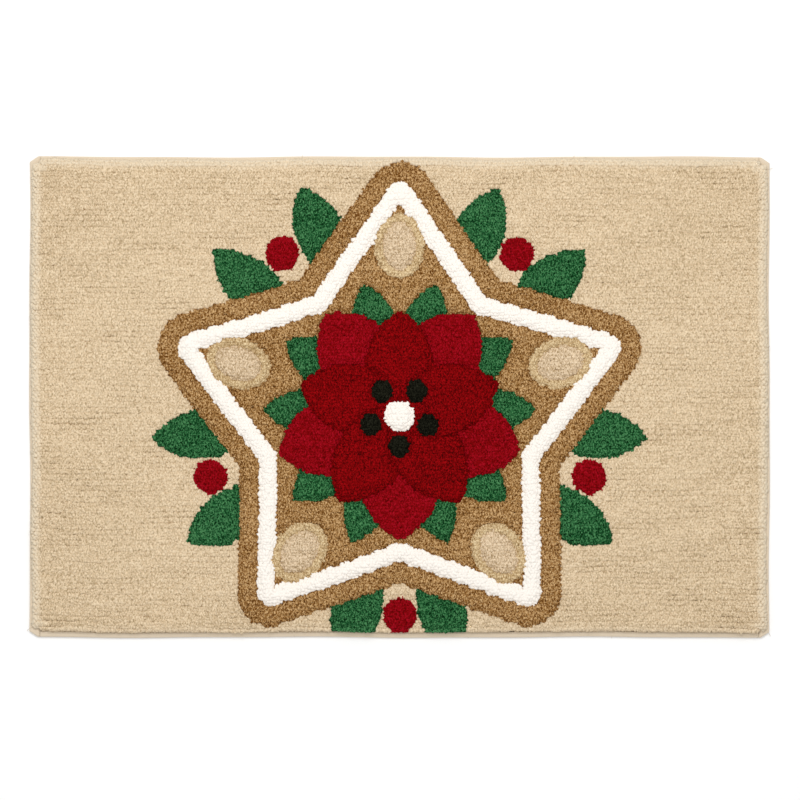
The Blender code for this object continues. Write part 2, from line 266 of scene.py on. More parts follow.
# %% Pile height and grooves
CARVE_REACHES = (3.0 * MM, 7.0 * MM)
RING_POINTS = 8
CARVE_DEPTH = 2.4 * MM
CARVE_SHARE = 0.45
CARVE_CURVE = 1.5
CARVE_IN_PLAIN = 0.15
RIM_DEPTH = (0.0 * MM, 1.0 * MM, 3.5 * MM, 10.0 * MM)
RIM_SHARE = (0.00, 0.60, 0.91, 1.00)


def insets(x, y):
    """Distances in from the short sides and from the long ones."""
    return HALF_LENGTH - np.abs(x), HALF_WIDTH - np.abs(y)


def pile_depth(x, y):
    """Distance in from the pile's foot, which follows the tape's lip and steps round the corner patches."""
    inset_x, inset_y = insets(x, y)
    past_lip = np.minimum(inset_x, inset_y) - TAPE_LIP - CLEARANCE
    past_length = inset_x - PATCH_LENGTH - 2 * CLEARANCE
    past_depth = inset_y - PATCH_DEPTH - 2 * CLEARANCE
    return np.minimum(past_lip, np.maximum(past_length, past_depth))


def borders(x, y, here):
    """Share of points in two rings that lie in another form, and the mean direction towards them."""
    share = np.zeros(len(x))
    toward = np.zeros((len(x), 2))
    for reach in CARVE_REACHES:
        for i in range(RING_POINTS):
            dx, dy = cos(i * tau / RING_POINTS), sin(i * tau / RING_POINTS)
            other = form_at(x + reach * dx, y + reach * dy) != here
            share += other / (RING_POINTS * len(CARVE_REACHES))
            toward += np.column_stack([dx * other, dy * other]) / RING_POINTS
    return share, toward


def pile_top(x, y, here, share):
    """Backing + rim share * (plain pile + slow waves + form height - groove), deepest where forms meet."""
    rim = np.interp(pile_depth(x, y), RIM_DEPTH, RIM_SHARE)
    heights = np.array([0.0] + [form.height for form in FORMS])
    unevenness = waves(x + 0.6 * y, TOP_WAVES) + waves(y - 0.4 * x, TOP_WAVES)
    near = np.clip(share / CARVE_SHARE, 0, 1) ** CARVE_CURVE
    groove = CARVE_DEPTH * near * np.where(here == 0, CARVE_IN_PLAIN, 1.0)
    return BACKING_TOP + rim * (PILE_GROUND + unevenness + heights[here] - groove)


print("Highest pile:", round((BACKING_TOP + PILE_GROUND + max(form.height for form in FORMS)) / MM, 1), "mm")

# %% [markdown]
# ## Where the yarn ends stand
# The machine sews rows along the rug's length, with one tuft a stitch. Once cut, a tuft's plies untwist, so
# each row shows as two lines of small ends that just touch. The grid below has those two lines a row, half
# a step apart, with small seeded slips. Each row has a slow cloud of its own: where it is fuller its ends
# stand prouder, and where it is thin a dark line shows, less so in the pattern's bulkier yarns. One more
# line of ends closes the pile's foot against the tape. At the front it stands further in and wanders, so
# that the tape shows there.

# %% Rows, lines and ends
ROW_PITCH = 5.7 * MM
END_PITCH = 2.9 * MM
END_STAGGER = 0.25
LINE_OFF = 1.38 * MM
LINE_WANDER = 0.30 * MM
LINE_CLOUD = 0.09
SLIP = 0.17 * MM
FOOT_PITCH = 2.1 * MM
FOOT_DEPTH = 0.9 * MM
FOOT_ROOM = 0.5 * MM
FRONT_DEPTH = 3.2 * MM
FRONT_FOOT = HALF_WIDTH - TAPE_LIP - CLEARANCE - FRONT_DEPTH
FRONT_WANDER = 0.45 * MM
FRONT_CLOUD = 0.035

# How far a row's two lines draw together, in millimetres, with its cloud
DRAWN = 0.20
DRAWN_SWING = 0.30
DRAWN_LIMITS = (-0.10, 0.65)
DRAWN_IN_PATTERN = 0.3
rng = np.random.default_rng(20)


def row_cloud(x, row_y):
    """A cloud that is stretched so thin across the rows that each row has its own."""
    return cloud(x, 30 * row_y, LINE_CLOUD, 4)


def foot_line():
    """Evenly spaced points on the pile's foot line, which steps round the four corner patches and stands
    further in at the front, and one more inside each step, where the line's own ends would leave a hole."""
    wide_x = HALF_LENGTH - TAPE_LIP - CLEARANCE - FOOT_DEPTH
    wide_y = HALF_WIDTH - TAPE_LIP - CLEARANCE - FOOT_DEPTH
    step_x = HALF_LENGTH - PATCH_LENGTH - 2 * CLEARANCE - FOOT_DEPTH
    step_y = HALF_WIDTH - PATCH_DEPTH - 2 * CLEARANCE - FOOT_DEPTH
    corner = [(wide_x, step_y), (step_x, step_y), (step_x, wide_y)]
    front = corner[:2] + [(step_x, FRONT_FOOT)]
    outline = corner + [(-x, y) for x, y in corner[::-1]] + [(-x, -y) for x, y in front]
    outline = np.array(outline + [(x, -y) for x, y in front[::-1]] + corner[:1])
    run = np.append(0, np.cumsum(np.hypot(*np.diff(outline, axis=0).T)))
    at = np.arange(round(run[-1] / FOOT_PITCH)) * FOOT_PITCH
    inner_x = (step_x - 0.7 * FOOT_PITCH) * np.array([-1, 1, -1, 1])
    inner_y = (step_y - 0.7 * FOOT_PITCH) * np.array([-1, -1, 1, 1])
    all_x = np.append(np.interp(at, run, outline[:, 0]), inner_x)
    all_y = np.append(np.interp(at, run, outline[:, 1]), inner_y)
    return all_x, all_y


half_x = HALF_LENGTH - TAPE_LIP
half_y = HALF_WIDTH - TAPE_LIP
row_count = round(2 * half_y / ROW_PITCH)
line_count = 2 * row_count
end_count = round(2 * half_x / END_PITCH)
line, step = np.meshgrid(np.arange(line_count), np.arange(end_count), indexing="ij")
line, step = line.ravel(), step.ravel()
line_side = line % 2 * 2 - 1
row_y = (line // 2 + 0.5) / row_count * 2 * half_y - half_y
end_x = (step + 0.5 + END_STAGGER * line_side) / end_count * 2 * half_x - half_x
drawn = MM * np.clip(DRAWN - DRAWN_SWING * row_cloud(end_x, row_y), *DRAWN_LIMITS)
drawn = drawn * np.where(form_at(end_x, row_y) == 0, 1.0, DRAWN_IN_PATTERN)
end_y = row_y + line_side * (LINE_OFF - drawn) + LINE_WANDER * cloud(end_x, row_y, LINE_CLOUD, 3)
end_x = end_x + rng.normal(0, SLIP, len(line))
end_y = end_y + rng.normal(0, SLIP, len(line))

kept = (pile_depth(end_x, end_y) > FOOT_DEPTH + FOOT_ROOM) & (end_y > FOOT_ROOM - FRONT_FOOT)
foot_x, foot_y = foot_line()
at_front = foot_y < 1.0 * MM - FRONT_FOOT
foot_y = foot_y + FRONT_WANDER * cloud(foot_x, 0 * foot_x, FRONT_CLOUD, 8) * at_front
end_x = np.append(end_x[kept], foot_x)
end_y = np.append(end_y[kept], foot_y)
row_y = np.append(row_y[kept], foot_y)
end_form = form_at(end_x, 0.5 * (end_y + row_y))
print(row_count, "rows:", len(end_x), "yarn ends,", len(foot_x), "of them along the foot")

# %% [markdown]
# ## A table of yarns
# Each yarn has a light, a body and a deep colour, as a screen shows them, and a few numbers for its nature:
# how wide an end is and how much prouder and rougher it stands, how mottled its tone is and how much painted
# shade darkens it beside a groove; a number below zero paints light there instead.

# %% Yarns
Yarn = namedtuple("Yarn", "light body deep swell lift rough mottle carved")
YARNS = {
    "ground": Yarn((234, 213, 181), (213, 189, 155), (172, 149, 114), 2.55, 0.0, 0.10, 1.55, 0.03),
    "brown": Yarn((204, 168, 120), (154, 112, 60), (92, 52, 10), 2.45, 0.0, 0.20, 2.2, 0.12),
    "red": Yarn((162, 12, 32), (131, 3, 7), (92, 0, 1), 2.50, 0.0, 0.14, 1.6, -0.10),
    "dark_red": Yarn((150, 6, 12), (121, 2, 4), (72, 0, 1), 2.50, 0.0, 0.14, 2.15, 0.14),
    "green": Yarn((76, 132, 84), (26, 88, 46), (2, 38, 10), 2.45, 0.0, 0.20, 2.5, 0.12),
    "white": Yarn((251, 246, 237), (248, 241, 232), (245, 236, 226), 2.85, 0.6, 0.08, 0.7, 0.00),
    "black": Yarn((35, 35, 25), (19, 19, 11), (5, 5, 2), 2.40, 0.0, 0.20, 1.9, 0.08),
    "sand": Yarn((236, 214, 172), (200, 173, 131), (149, 117, 71), 2.50, 0.0, 0.16, 1.4, 0.08),
    "cream": Yarn((234, 211, 179), (207, 183, 151), (164, 137, 99), 2.55, 0.0, 0.12, 1.75, 0.03),
}
NAMES = list(YARNS)
form_yarn = np.array([0] + [NAMES.index(form.yarn) for form in FORMS])
end_yarn = form_yarn[end_form]
count = len(end_x)


def yarn_number(column):
    """One column of the table, looked up for every yarn end. Swell, lift and rough are in millimetres."""
    return np.array([getattr(YARNS[name], column) for name in NAMES])[end_yarn]


print(len(YARNS), "yarns;", int((end_yarn == 0).sum()), "ends are of the ground yarn")

# %% [markdown]
# ## How each end stands and leans
# No two ends are alike. Each has a seeded radius, height and lean. On top of that a slow cloud turns whole
# patches the same way, as brushing does, and ends lean away from the grooves. At the sides and the back the
# outermost ends fall over the tape, and round a corner the one blends into the other.

# %% Radius, height and lean
FOOT_SWELL = 1.1
RIM_REACH = 9 * MM
CORNER_BLEND = 12 * MM
SIDE_FALL = 1.5 * MM
BACK_FALL = 1.0 * MM
LEAN = 0.24 * MM
BRUSHED = 0.8 * MM
BRUSH_CLOUD = 0.16
OFF_GROOVE = 0.7 * MM

share, toward = borders(end_x, end_y, end_form)
depth = pile_depth(end_x, end_y)
rim = np.clip(1 - depth / RIM_REACH, 0, 1)
radius = MM * yarn_number("swell") * rng.normal(1, 0.07, count)
radius[-len(foot_x):] *= FOOT_SWELL
top = pile_top(end_x, end_y, end_form, share) + MM * yarn_number("lift") * (share < 0.6)
top = top + MM * yarn_number("rough") * (rng.normal(0, 1, count) - 4 * (rng.random(count) < 0.03))
top = top + 0.20 * MM * row_cloud(end_x, row_y)

lean = rng.normal(0, LEAN, (count, 2))
lean[:, 0] += BRUSHED * cloud(end_x, end_y, BRUSH_CLOUD, 5)
lean[:, 1] += BRUSHED * cloud(end_x, end_y, BRUSH_CLOUD, 6)
lean -= OFF_GROOVE * toward
inset_x, inset_y = insets(end_x, end_y)
sideways = np.clip(0.5 + (inset_y - inset_x) / CORNER_BLEND, 0, 1)
fall_x = SIDE_FALL * sideways * np.sign(end_x)
fall_y = BACK_FALL * (1 - sideways) * (end_y > 0)
past_patch = np.maximum(inset_x - PATCH_LENGTH, inset_y - PATCH_DEPTH)
lean += (rim * np.clip(past_patch / (4 * MM), 0, 1))[:, None] * np.column_stack([fall_x, fall_y])
print("Ends lean by up to", round(float(np.hypot(*lean.T).max()) / MM, 1), "mm")

# %% [markdown]
# ## How each end is shaded
# Each end has a shade of its own too, which follows its row, and painted shade darkens it beside the grooves.
# The rim shows the flanks of its ends, painted lighter as light on flanks that face out: that is the rim
# light.
# Its loose fibres are mixed paler, and the same pale mix is partly painted light that lifts the rim. Both are
# strongest at the short sides. A painted light falloff makes the middle of the plain pile a little lighter
# than its corners.

# %% Shade, glow and bloom
Rims = namedtuple("Rims", "sides back front")
PAINTED_RIM_LIGHT = Rims(0.42, 0.12, 0.14)
PALE_AND_LIT = Rims(0.80, 0.70, 0.15)
PALE_AND_LIT_REACH = 8 * MM
FLANK_REACH = 6 * MM
PAINTED_LIGHT_MIDDLE = 0.105
PAINTED_LIGHT_FALL = 0.10
MIDDLE_SHADE = 0.53


def by_rim(rims):
    """A number for each end: the sides', the back's or the front's, blended round the corners."""
    return sideways * rims.sides + (1 - sideways) * np.where(end_y > 0, rims.back, rims.front)


shade = rng.normal(MIDDLE_SHADE, 0.02, count) + 0.04 * cloud(end_x, end_y, 0.20, 7)
# Painted shade beside the grooves: the yarn's groove number times the share of other forms close by.
shade = shade + 0.045 * row_cloud(end_x, row_y) - yarn_number("carved") * share * 2
flank = np.clip(1.4 - depth / FLANK_REACH, 0, 1)
# Pale rim mix: paler loose fibres, and partly painted light that lifts the rim.
pale_and_lit = by_rim(PALE_AND_LIT) * np.clip(1.1 - depth / PALE_AND_LIT_REACH, 0, 1) * (end_yarn == 0)
# Painted light falloff: the plain pile is painted lighter in the middle and darker towards the corners.
painted_light_falloff = PAINTED_LIGHT_MIDDLE - PAINTED_LIGHT_FALL * ((end_x / half_x) ** 2 + (end_y / half_y) ** 2)
# Painted light on the rim: ends are lightened by their flank share, most at the short sides.
shade = shade + by_rim(PAINTED_RIM_LIGHT) * flank + painted_light_falloff * (end_form == 0)
print("Ends' shades run from", round(float(shade.min()), 2), "to", round(float(shade.max()), 2))

# %% [markdown]
# ## One yarn end as a closed bud
# Up close a cut end is a soft bud with a frayed, nearly flat top. From above only that top shows, so the
# bud is a cone that is wide at its root and closes the pile below. Two rings of five points and a tip make
# it in 18 triangles, so that forty-five thousand still fit. The map for painted exports gives each bud a
# square cell, with the tip in the middle and the rings round it, so that no face covers another.

# %% Bud mesh
SIDES = 5
BudRing = namedtuple("BudRing", "rise width shade spread")
# Ring shades: painted shade darkens each bud towards its root, as deep between the ends, and the tip is
# painted a little lighter.
BUD_RINGS = (BudRing(0.00, 1.70, -0.40, 0.42), BudRing(0.96, 1.00, -0.05, 0.26))
TIP_SHADE = 0.05
ROOT_SPREAD = 0.06
ROOT_CORNER = 0.43
ROOT_DEPTH = 0.5 * MM
ROOT_ROOM = 0.6 * MM
OVAL = 0.26
TILT = 0.40 * MM
RAGGED_TURN = 0.12
RAGGED_WIDTH = 0.08


def bud_faces():
    """Triangles of one bud, root ring to upper ring to tip, and the same corners in its cell of the map."""
    turns = [(cos(tau * s / SIDES), sin(tau * s / SIDES)) for s in range(SIDES)]
    flat = [(ring.spread * u, ring.spread * v) for ring in BUD_RINGS for u, v in turns]
    flat.append((0.0, 0.0))
    faces = []
    for s in range(SIDES):
        t = (s + 1) % SIDES
        faces += [(s, t, SIDES + t), (s, SIDES + t, SIDES + s), (SIDES + s, SIDES + t, 2 * SIDES)]
    cells = [[flat[i] for i in face] for face in faces]
    for s in range(1, SIDES - 1):
        root = (0, s + 1, s)
        faces.append(root)
        spots = [(ROOT_SPREAD * turns[i][0], -ROOT_SPREAD * turns[i][1]) for i in root]
        cells.append([(ROOT_CORNER + u, ROOT_CORNER + v) for u, v in spots])
    return np.array(faces), np.array(cells)


BUD_FACES, BUD_CELLS = bud_faces()


def bud_points(x, y, top, radius, lean, draw):
    """All buds' points: rings of width * radius, long one way, that lean by rise squared and end in a
    tilted cap. Roots stay within the pile's foot."""
    n = len(x)
    rise = np.array([ring.rise for ring in BUD_RINGS])
    width = np.array([ring.width for ring in BUD_RINGS])
    root_z = BACKING_TOP - ROOT_DEPTH
    tall = (top - root_z)[:, None]
    turn = draw.uniform(0, tau, (n, 1, 1)) + tau * np.arange(SIDES) / SIDES
    turn = turn + draw.normal(0, RAGGED_TURN, (n, 1, SIDES))
    grain = draw.uniform(0, tau, (n, 1, 1))
    out = radius[:, None, None] * width[:, None] * draw.normal(1, RAGGED_WIDTH, (n, len(rise), SIDES))
    out = out * (1 + OVAL * np.cos(2 * (turn - grain)) * rise[:, None])
    room = (pile_depth(x, y) + ROOT_ROOM)[:, None, None]
    out = np.where(rise[:, None] == 0, np.minimum(out, room), out)
    bend = lean[:, None, :] * rise[:, None] ** 2
    ring_x = x[:, None, None] + bend[..., 0:1] + out * np.cos(turn)
    ring_y = y[:, None, None] + bend[..., 1:2] + out * np.sin(turn)
    ring_z = root_z + tall[..., None] * rise[:, None] + TILT * np.cos(turn - grain) * rise[:, None]
    rings = np.stack([ring_x, ring_y, ring_z], -1).reshape(n, -1, 3)
    tips = np.column_stack([x + lean[:, 0], y + lean[:, 1], top])[:, None]
    return np.concatenate([rings, tips], 1)


print(len(BUD_FACES), "triangles in a bud,", len(BUD_FACES) * count, "in all")

# %% [markdown]
# ## From arrays to Blender
# A mesh takes whole arrays with foreach_set, which is far quicker than adding points one by one. Two more
# helpers store the map for painted exports, and numbers on the points that the materials read.

# %% Mesh from arrays
FLANK_EVENS = 0.85
POINT_GRAIN = 0.05


def quads(a, b, c, d):
    """Two triangles for every four corners: a, b, c and a, c, d."""
    a, b, c, d = (np.ravel(corner) for corner in (a, b, c, d))
    return np.concatenate([np.column_stack([a, b, c]), np.column_stack([a, c, d])])


def mesh_object(name, points, triangles):
    """An object at the origin from an array of points and one of triangles."""
    mesh = bpy.data.meshes.new(name)
    mesh.vertices.add(len(points))
    mesh.vertices.foreach_set("co", waved(points).astype(np.float32).ravel())
    mesh.loops.add(triangles.size)
    mesh.loops.foreach_set("vertex_index", triangles.astype(np.int32).ravel())
    mesh.polygons.add(len(triangles))
    mesh.polygons.foreach_set("loop_start", np.arange(0, triangles.size, 3, dtype=np.int32))
    mesh.polygons.foreach_set("use_smooth", np.full(len(triangles), True))
    mesh.update(calc_edges=True)
    piece = bpy.data.objects.new(name, mesh)
    bpy.context.collection.objects.link(piece)
    return piece


def add_numbers(piece, name, values):
    """Stores a number for each point under a name."""
    layer = piece.data.attributes.new(name, "FLOAT", "POINT")
    layer.data.foreach_set("value", np.asarray(values, np.float32).ravel())


def add_map(piece, corners):
    """Stores the map for painted exports, one place for each triangle's corner."""
    layer = piece.data.uv_layers.new(name="OFBake")
    layer.data.foreach_set("uv", np.asarray(corners, np.float32).ravel())


def pile_piece(name, chosen, seed):
    """One piece of pile: the chosen ends' buds, painted darker at their roots as shade deep in the pile, with
    each in its own cell of the map.
    """
    draw = np.random.default_rng(seed)
    n = int(chosen.sum())
    points = bud_points(end_x[chosen], end_y[chosen], top[chosen], radius[chosen], lean[chosen], draw)
    size = points.shape[1]
    triangles = (BUD_FACES[None] + size * np.arange(n)[:, None, None]).reshape(-1, 3)
    piece = mesh_object(name, points.reshape(-1, 3), triangles)
    ring_shade = np.repeat([ring.shade for ring in BUD_RINGS], SIDES)
    column = np.append(ring_shade, TIP_SHADE)
    # On a flank the painted root shade is mostly taken off.
    column = column * (1 - FLANK_EVENS * flank[chosen][:, None])
    grain = draw.normal(0, POINT_GRAIN, (n, size))
    add_numbers(piece, "shade", shade[chosen][:, None] + column + grain)
    add_numbers(piece, "pale_and_lit", np.repeat(pale_and_lit[chosen], size))
    across = ceil(n ** 0.5)
    cell = np.column_stack([np.arange(n) % across, np.arange(n) // across])
    add_map(piece, (BUD_CELLS[None] + 0.5 + cell[:, None, None, :]) / across)
    return piece


print("Helpers ready")

# %% [markdown]
# ## Shader maths as plain expressions
# A material is a graph of nodes, and its maths reads best as maths. A small class wraps a node's output and
# turns + - * into Math nodes. Every other node comes from one method.

# %% Nodes from expressions


class Wire:
    """A node's output that can be used in expressions."""

    def __init__(self, paint, socket):
        self.paint = paint
        self.socket = socket

    def __add__(self, other):
        return self.paint.math("ADD", self, other)

    def __sub__(self, other):
        return self.paint.math("SUBTRACT", self, other)

    def __rsub__(self, other):
        return self.paint.math("SUBTRACT", other, self)

    def __mul__(self, other):
        return self.paint.math("MULTIPLY", self, other)

    __radd__ = __add__
    __rmul__ = __mul__


class Paint:
    """A material whose nodes are made by expressions."""

    def __init__(self, name):
        self.material = bpy.data.materials.new(name)
        self.material.use_nodes = True
        self.tree = self.material.node_tree
        self.shader = self.tree.nodes["Principled BSDF"]

    def node(self, kind, settings=None, inputs=None, output=0):
        """Adds a node, sets it up, feeds its inputs and returns one output as a wire."""
        made = self.tree.nodes.new(kind)
        for key, value in (settings or {}).items():
            setattr(made, key, value)
        for key, value in (inputs or {}).items():
            self.feed(made.inputs[key], value)
        return Wire(self, made.outputs[output])

    def feed(self, socket, value):
        """Links a wire to a socket, or sets the socket's own value."""
        if isinstance(value, Wire):
            self.tree.links.new(value.socket, socket)
        else:
            socket.default_value = value

    def math(self, operation, a, b=0.0):
        """A Math node on two values or wires."""
        return self.node("ShaderNodeMath", {"operation": operation}, {0: a, 1: b})

    def mix(self, blend, factor, a, b):
        """Two colours through a Mix node, whose colour sockets are inputs 6 and 7 and output 2."""
        settings = {"data_type": "RGBA", "blend_type": blend}
        return self.node("ShaderNodeMix", settings, {0: factor, 6: a, 7: b}, 2)

    def place(self):
        """Object coordinates: metres in the rug's own frame."""
        return self.node("ShaderNodeTexCoord", output=3)

    def stored(self, name):
        """The number that the mesh's points hold under a name."""
        return self.node("ShaderNodeAttribute", {"attribute_name": name}, output=2)

    def sine(self, angle):
        """The sine of an angle in radians."""
        return self.math("SINE", angle)

    def noise(self, scale, detail=2.0, curl=0.0, stretch=(1.0, 1.0, 1.0)):
        """Noise from 0 to 1: scale waves to the metre, bent by curl and packed more tightly by stretch."""
        spot = self.node("ShaderNodeMapping", None, {"Vector": self.place(), "Scale": stretch})
        inputs = {"Vector": spot, "Scale": scale, "Detail": detail, "Distortion": curl}
        return self.node("ShaderNodeTexNoise", None, inputs)

    def ramp(self, value, colours):
        """Colours evenly spaced from 0 to 1, mixed by value."""
        made = self.node("ShaderNodeValToRGB", None, {"Fac": value})
        stops = made.socket.node.color_ramp.elements
        for number, colour in enumerate(colours):
            place = number / (len(colours) - 1)
            stop = stops[number] if number < 2 else stops.new(place)
            stop.position = place
            stop.color = colour
        return made

    def bump(self, height, distance, strength):
        """A normal from a height, where distance is how high a height of 1 stands, in metres."""
        inputs = {"Height": height, "Distance": distance, "Strength": strength}
        return self.node("ShaderNodeBump", None, inputs)

    def finish(self, colour, roughness, normal=None):
        """Feeds the shader: colour, roughness and normal may vary, and the rest is the same all over."""
        self.feed(self.shader.inputs["Base Color"], colour)
        self.feed(self.shader.inputs["Roughness"], roughness)
        if normal is not None:
            self.feed(self.shader.inputs["Normal"], normal)
        self.shader.inputs["Specular IOR Level"].default_value = 0.05
        return self.material


def opaque(colour):
    """A colour of three parts with a fourth that says it can't be seen through."""
    return (*colour, 1.0)


print("Wire and Paint ready")

# %% [markdown]
# ## Yarn
# Polyester yarn is matt and dyed evenly, so what the eye reads as mottling is depth: light that has gone
# deep between the fibres comes back darker and richer. So a tone from 0 to 1 runs over the yarn's three
# colours, and its deep end is painted shade. The shade attribute sets it for each end, and two noises add
# bundles and fibres, a little longer across the rows, as the curled ends lie. Last, an attribute mixes in a
# pale colour at the rims alone: partly the pale tone of loose fibres, partly painted light that lifts them.

# %% Yarn material
PALE_AND_LIT_COLOUR = (227, 214, 191)
BUNDLES_PER_METRE = 660.0
FIBRES_PER_METRE = 1100.0
ACROSS_ROWS = (1.25, 0.75, 1.0)


def linear(colour):
    """A screen's colour as light: ((c + 0.055) / 1.055) to the power 2.4, or c / 12.92 if it is dark."""
    parts = np.array(colour) / 255
    light = np.where(parts > 0.04045, ((parts + 0.055) / 1.055) ** 2.4, parts / 12.92)
    return tuple(float(part) for part in light)


def yarn_material(name, yarn):
    """Deep to light colour by shade + mottle * noise, then a pale rim mix that is partly painted light, and a
    sheen of the yarn's tint.
    """
    paint = Paint(name)
    bundles = paint.noise(BUNDLES_PER_METRE, 1.0, 1.0, ACROSS_ROWS)
    fibres = paint.noise(FIBRES_PER_METRE, 2.0, 0.0, ACROSS_ROWS)
    tone = paint.stored("shade")
    tone = tone + yarn.mottle * (1.7 * bundles + 0.6 * fibres - 1.15)
    colour = paint.ramp(tone, [opaque(linear(part)) for part in (yarn.deep, yarn.body, yarn.light)])
    # Pale rim mix: the pale tone of loose fibres, partly painted light that lifts the rim.
    colour = paint.mix("MIX", paint.stored("pale_and_lit"), colour, opaque(linear(PALE_AND_LIT_COLOUR)))
    normal = paint.bump(bundles + fibres * 0.5, 0.5 * MM, 0.5)
    paint.shader.inputs["Sheen Weight"].default_value = 0.08
    paint.shader.inputs["Sheen Roughness"].default_value = 0.5
    paint.shader.inputs["Sheen Tint"].default_value = opaque(linear(yarn.light))
    return paint.finish(colour, 0.95, normal)


yarn_materials = {name: yarn_material(name + "_yarn", yarn) for name, yarn in YARNS.items()}
print(len(yarn_materials), "yarn materials")

# %% [markdown]
# ## Laying the pile
# The plain pile covers more than half the rug, so it is made in three bands from front to back. Every other
# yarn is a piece of its own. Each piece stands in for the CAD mat and rides on the one body.

# %% Pile pieces


def dress(piece, node, material):
    """Gives a piece its material and the body it rides on, hides the node it stands for and prints its
    triangles.
    """
    piece.data.materials.append(material)
    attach(piece, "root")
    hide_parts(node)
    print(piece.name, len(piece.data.polygons), "triangles")
    return piece


end_band = np.clip(((end_y + half_y) / (2 * half_y) * 3).astype(int), 0, 2)
pile_pieces = []
for number, band_name in enumerate(("front", "middle", "back")):
    chosen = (end_yarn == 0) & (end_band == number)
    piece = pile_piece("pile_ground_" + band_name, chosen, 100 + number)
    pile_pieces.append(dress(piece, "tufted_mat", yarn_materials["ground"]))
for number, name in enumerate(NAMES[1:], 1):
    piece = pile_piece("pile_" + name, end_yarn == number, 110 + number)
    pile_pieces.append(dress(piece, "tufted_mat", yarn_materials[name]))
print(len(pile_pieces), "pieces of pile")

# %% [markdown]
# ## Backing cloth
# A woven cloth, coated underneath, holds the tufts. It is one flat sheet that steps up a little over the
# folded tape. A grid of points covers its top and one its underside, joined round the edge.

# %% Backing sheet
BACK_STEP = 8.0 * MM
BAND_EDGE = TAPE_BAND + 2 * CLEARANCE
BAND_RAMP = 3 * MM
EDGE_INSET = 1.3 * MM
CORNER_CUT = 7.5 * MM
OFF_FLOOR = 0.1 * MM
BANDS_PER_SCALE = 3.183


def sheet_grid():
    """Plan points from -1 to 1 on an even grid, each cell's two triangles, and the points of the edge."""
    across = ceil(RUG_LENGTH / BACK_STEP)
    deep = ceil(RUG_WIDTH / BACK_STEP)
    v, u = np.meshgrid(np.linspace(-1, 1, deep + 1), np.linspace(-1, 1, across + 1), indexing="ij")
    here = np.arange((deep + 1) * (across + 1)).reshape(deep + 1, across + 1)
    triangles = quads(here[:-1, :-1], here[:-1, 1:], here[1:, 1:], here[1:, :-1])
    edge = np.concatenate([here[0, :-1], here[:-1, -1], here[-1, :0:-1], here[:0:-1, 0]])
    return u.ravel(), v.ravel(), triangles, edge


def backing():
    """Top at one height, underside on the floor or, past the step, over the tape. Corners are cut off."""
    u, v, triangles, edge = sheet_grid()
    x = u * (HALF_LENGTH - EDGE_INSET)
    y = v * (HALF_WIDTH - EDGE_INSET)
    cut = HALF_LENGTH + HALF_WIDTH - 2 * EDGE_INSET - CORNER_CUT
    past = np.maximum(0, np.abs(x) + np.abs(y) - cut)
    x = x - np.sign(x) * past / 2
    y = y - np.sign(y) * past / 2
    low = np.interp(np.minimum(*insets(x, y)), [BAND_EDGE, BAND_EDGE + BAND_RAMP], [BACKING_LOW, OFF_FLOOR])
    upper = np.column_stack([x, y, np.full(len(x), BACKING_TOP)])
    lower = np.column_stack([x, y, low])
    n = len(x)
    ahead = np.roll(edge, -1)
    walls = quads(edge + n, ahead + n, ahead, edge)
    faces = np.concatenate([triangles, triangles[:, ::-1] + n, walls])
    return mesh_object("backing_sheet", np.concatenate([upper, lower]), faces)


def backing_material():
    """Coated weave: rows of stitches show through the coat as soft dashes, over a fine speckle."""
    paint = Paint("backing_cloth")
    plan = paint.node("ShaderNodeMapping", None, {"Vector": paint.place(), "Scale": (1.0, 1.0, 0.0)})
    settings = {"wave_type": "BANDS", "bands_direction": "Y"}
    bands = 1 / (ROW_PITCH * BANDS_PER_SCALE)
    inputs = {"Vector": plan, "Scale": bands, "Distortion": 0.6, "Detail": 2.0}
    rows = paint.node("ShaderNodeTexWave", settings, inputs, 1)
    speckle = paint.noise(600.0, 4.0)
    height = rows * 0.7 + speckle * 0.5
    dark, light = opaque((0.50, 0.43, 0.32)), opaque((0.66, 0.58, 0.46))
    colour = paint.mix("MIX", speckle, dark, light)
    return paint.finish(colour, 0.85, paint.bump(height, 0.4 * MM, 0.7))


backing_sheet = dress(backing(), "tufted_mat", backing_material())

# %% [markdown]
# ## Edge tape
# A woven tape is folded round the edge: a narrow lip on top, a soft fold outside and a wide band
# underneath. It is a section carried along the side: a path down the band, round the fold and over the lip,
# thickened both ways. The tapes of the short sides widen at their ends into plain corner patches, whose
# outer corner is cut off at a slant and whose end is pressed shut. The front tape's lip climbs a little up
# the pile's foot and ends under it.

# %% Tape sections
TAPE_STEP = 3.0 * MM
FOLD_STEPS = 7
LIP_STEPS = 4
BAND_STEPS = 5
FOLD_REACH = 0.6 * MM
LIP_DROOP = 0.25 * MM
PATCH_PUFF = 0.5 * MM
PATCH_PRESS = 2.1 * MM
PRESS_LENGTH = 2 * MM
BAND_TURN = 1.6 * MM
FRONT_CLIMB = 2.0 * MM
FRONT_TUCK = 0.7 * MM
CLIMB_START = 8 * MM
BAND_START = 4.0 * MM
TAPE_WOBBLE = 0.18 * MM
WOBBLE_CLOUD = 0.03

# Distances from a tape's end at which it has sections, in millimetres
SIDE_MARKS = (0.0, 0.2, 0.5, 1.0, 1.6, 2.4, 3.4, 4.6, 6.0, 7.2, 8.2, 8.7, 8.95, 9.1, 9.8, 11.0, 12.6)
END_MARKS = (0.0, 2.0, 5.0, 10.0, 15.0, 20.7)

# A tape's insets of fold, lip and band at each section, and how far its top is pressed, puffed and climbs
Section = namedtuple("Section", "outer lip band press puff climb")


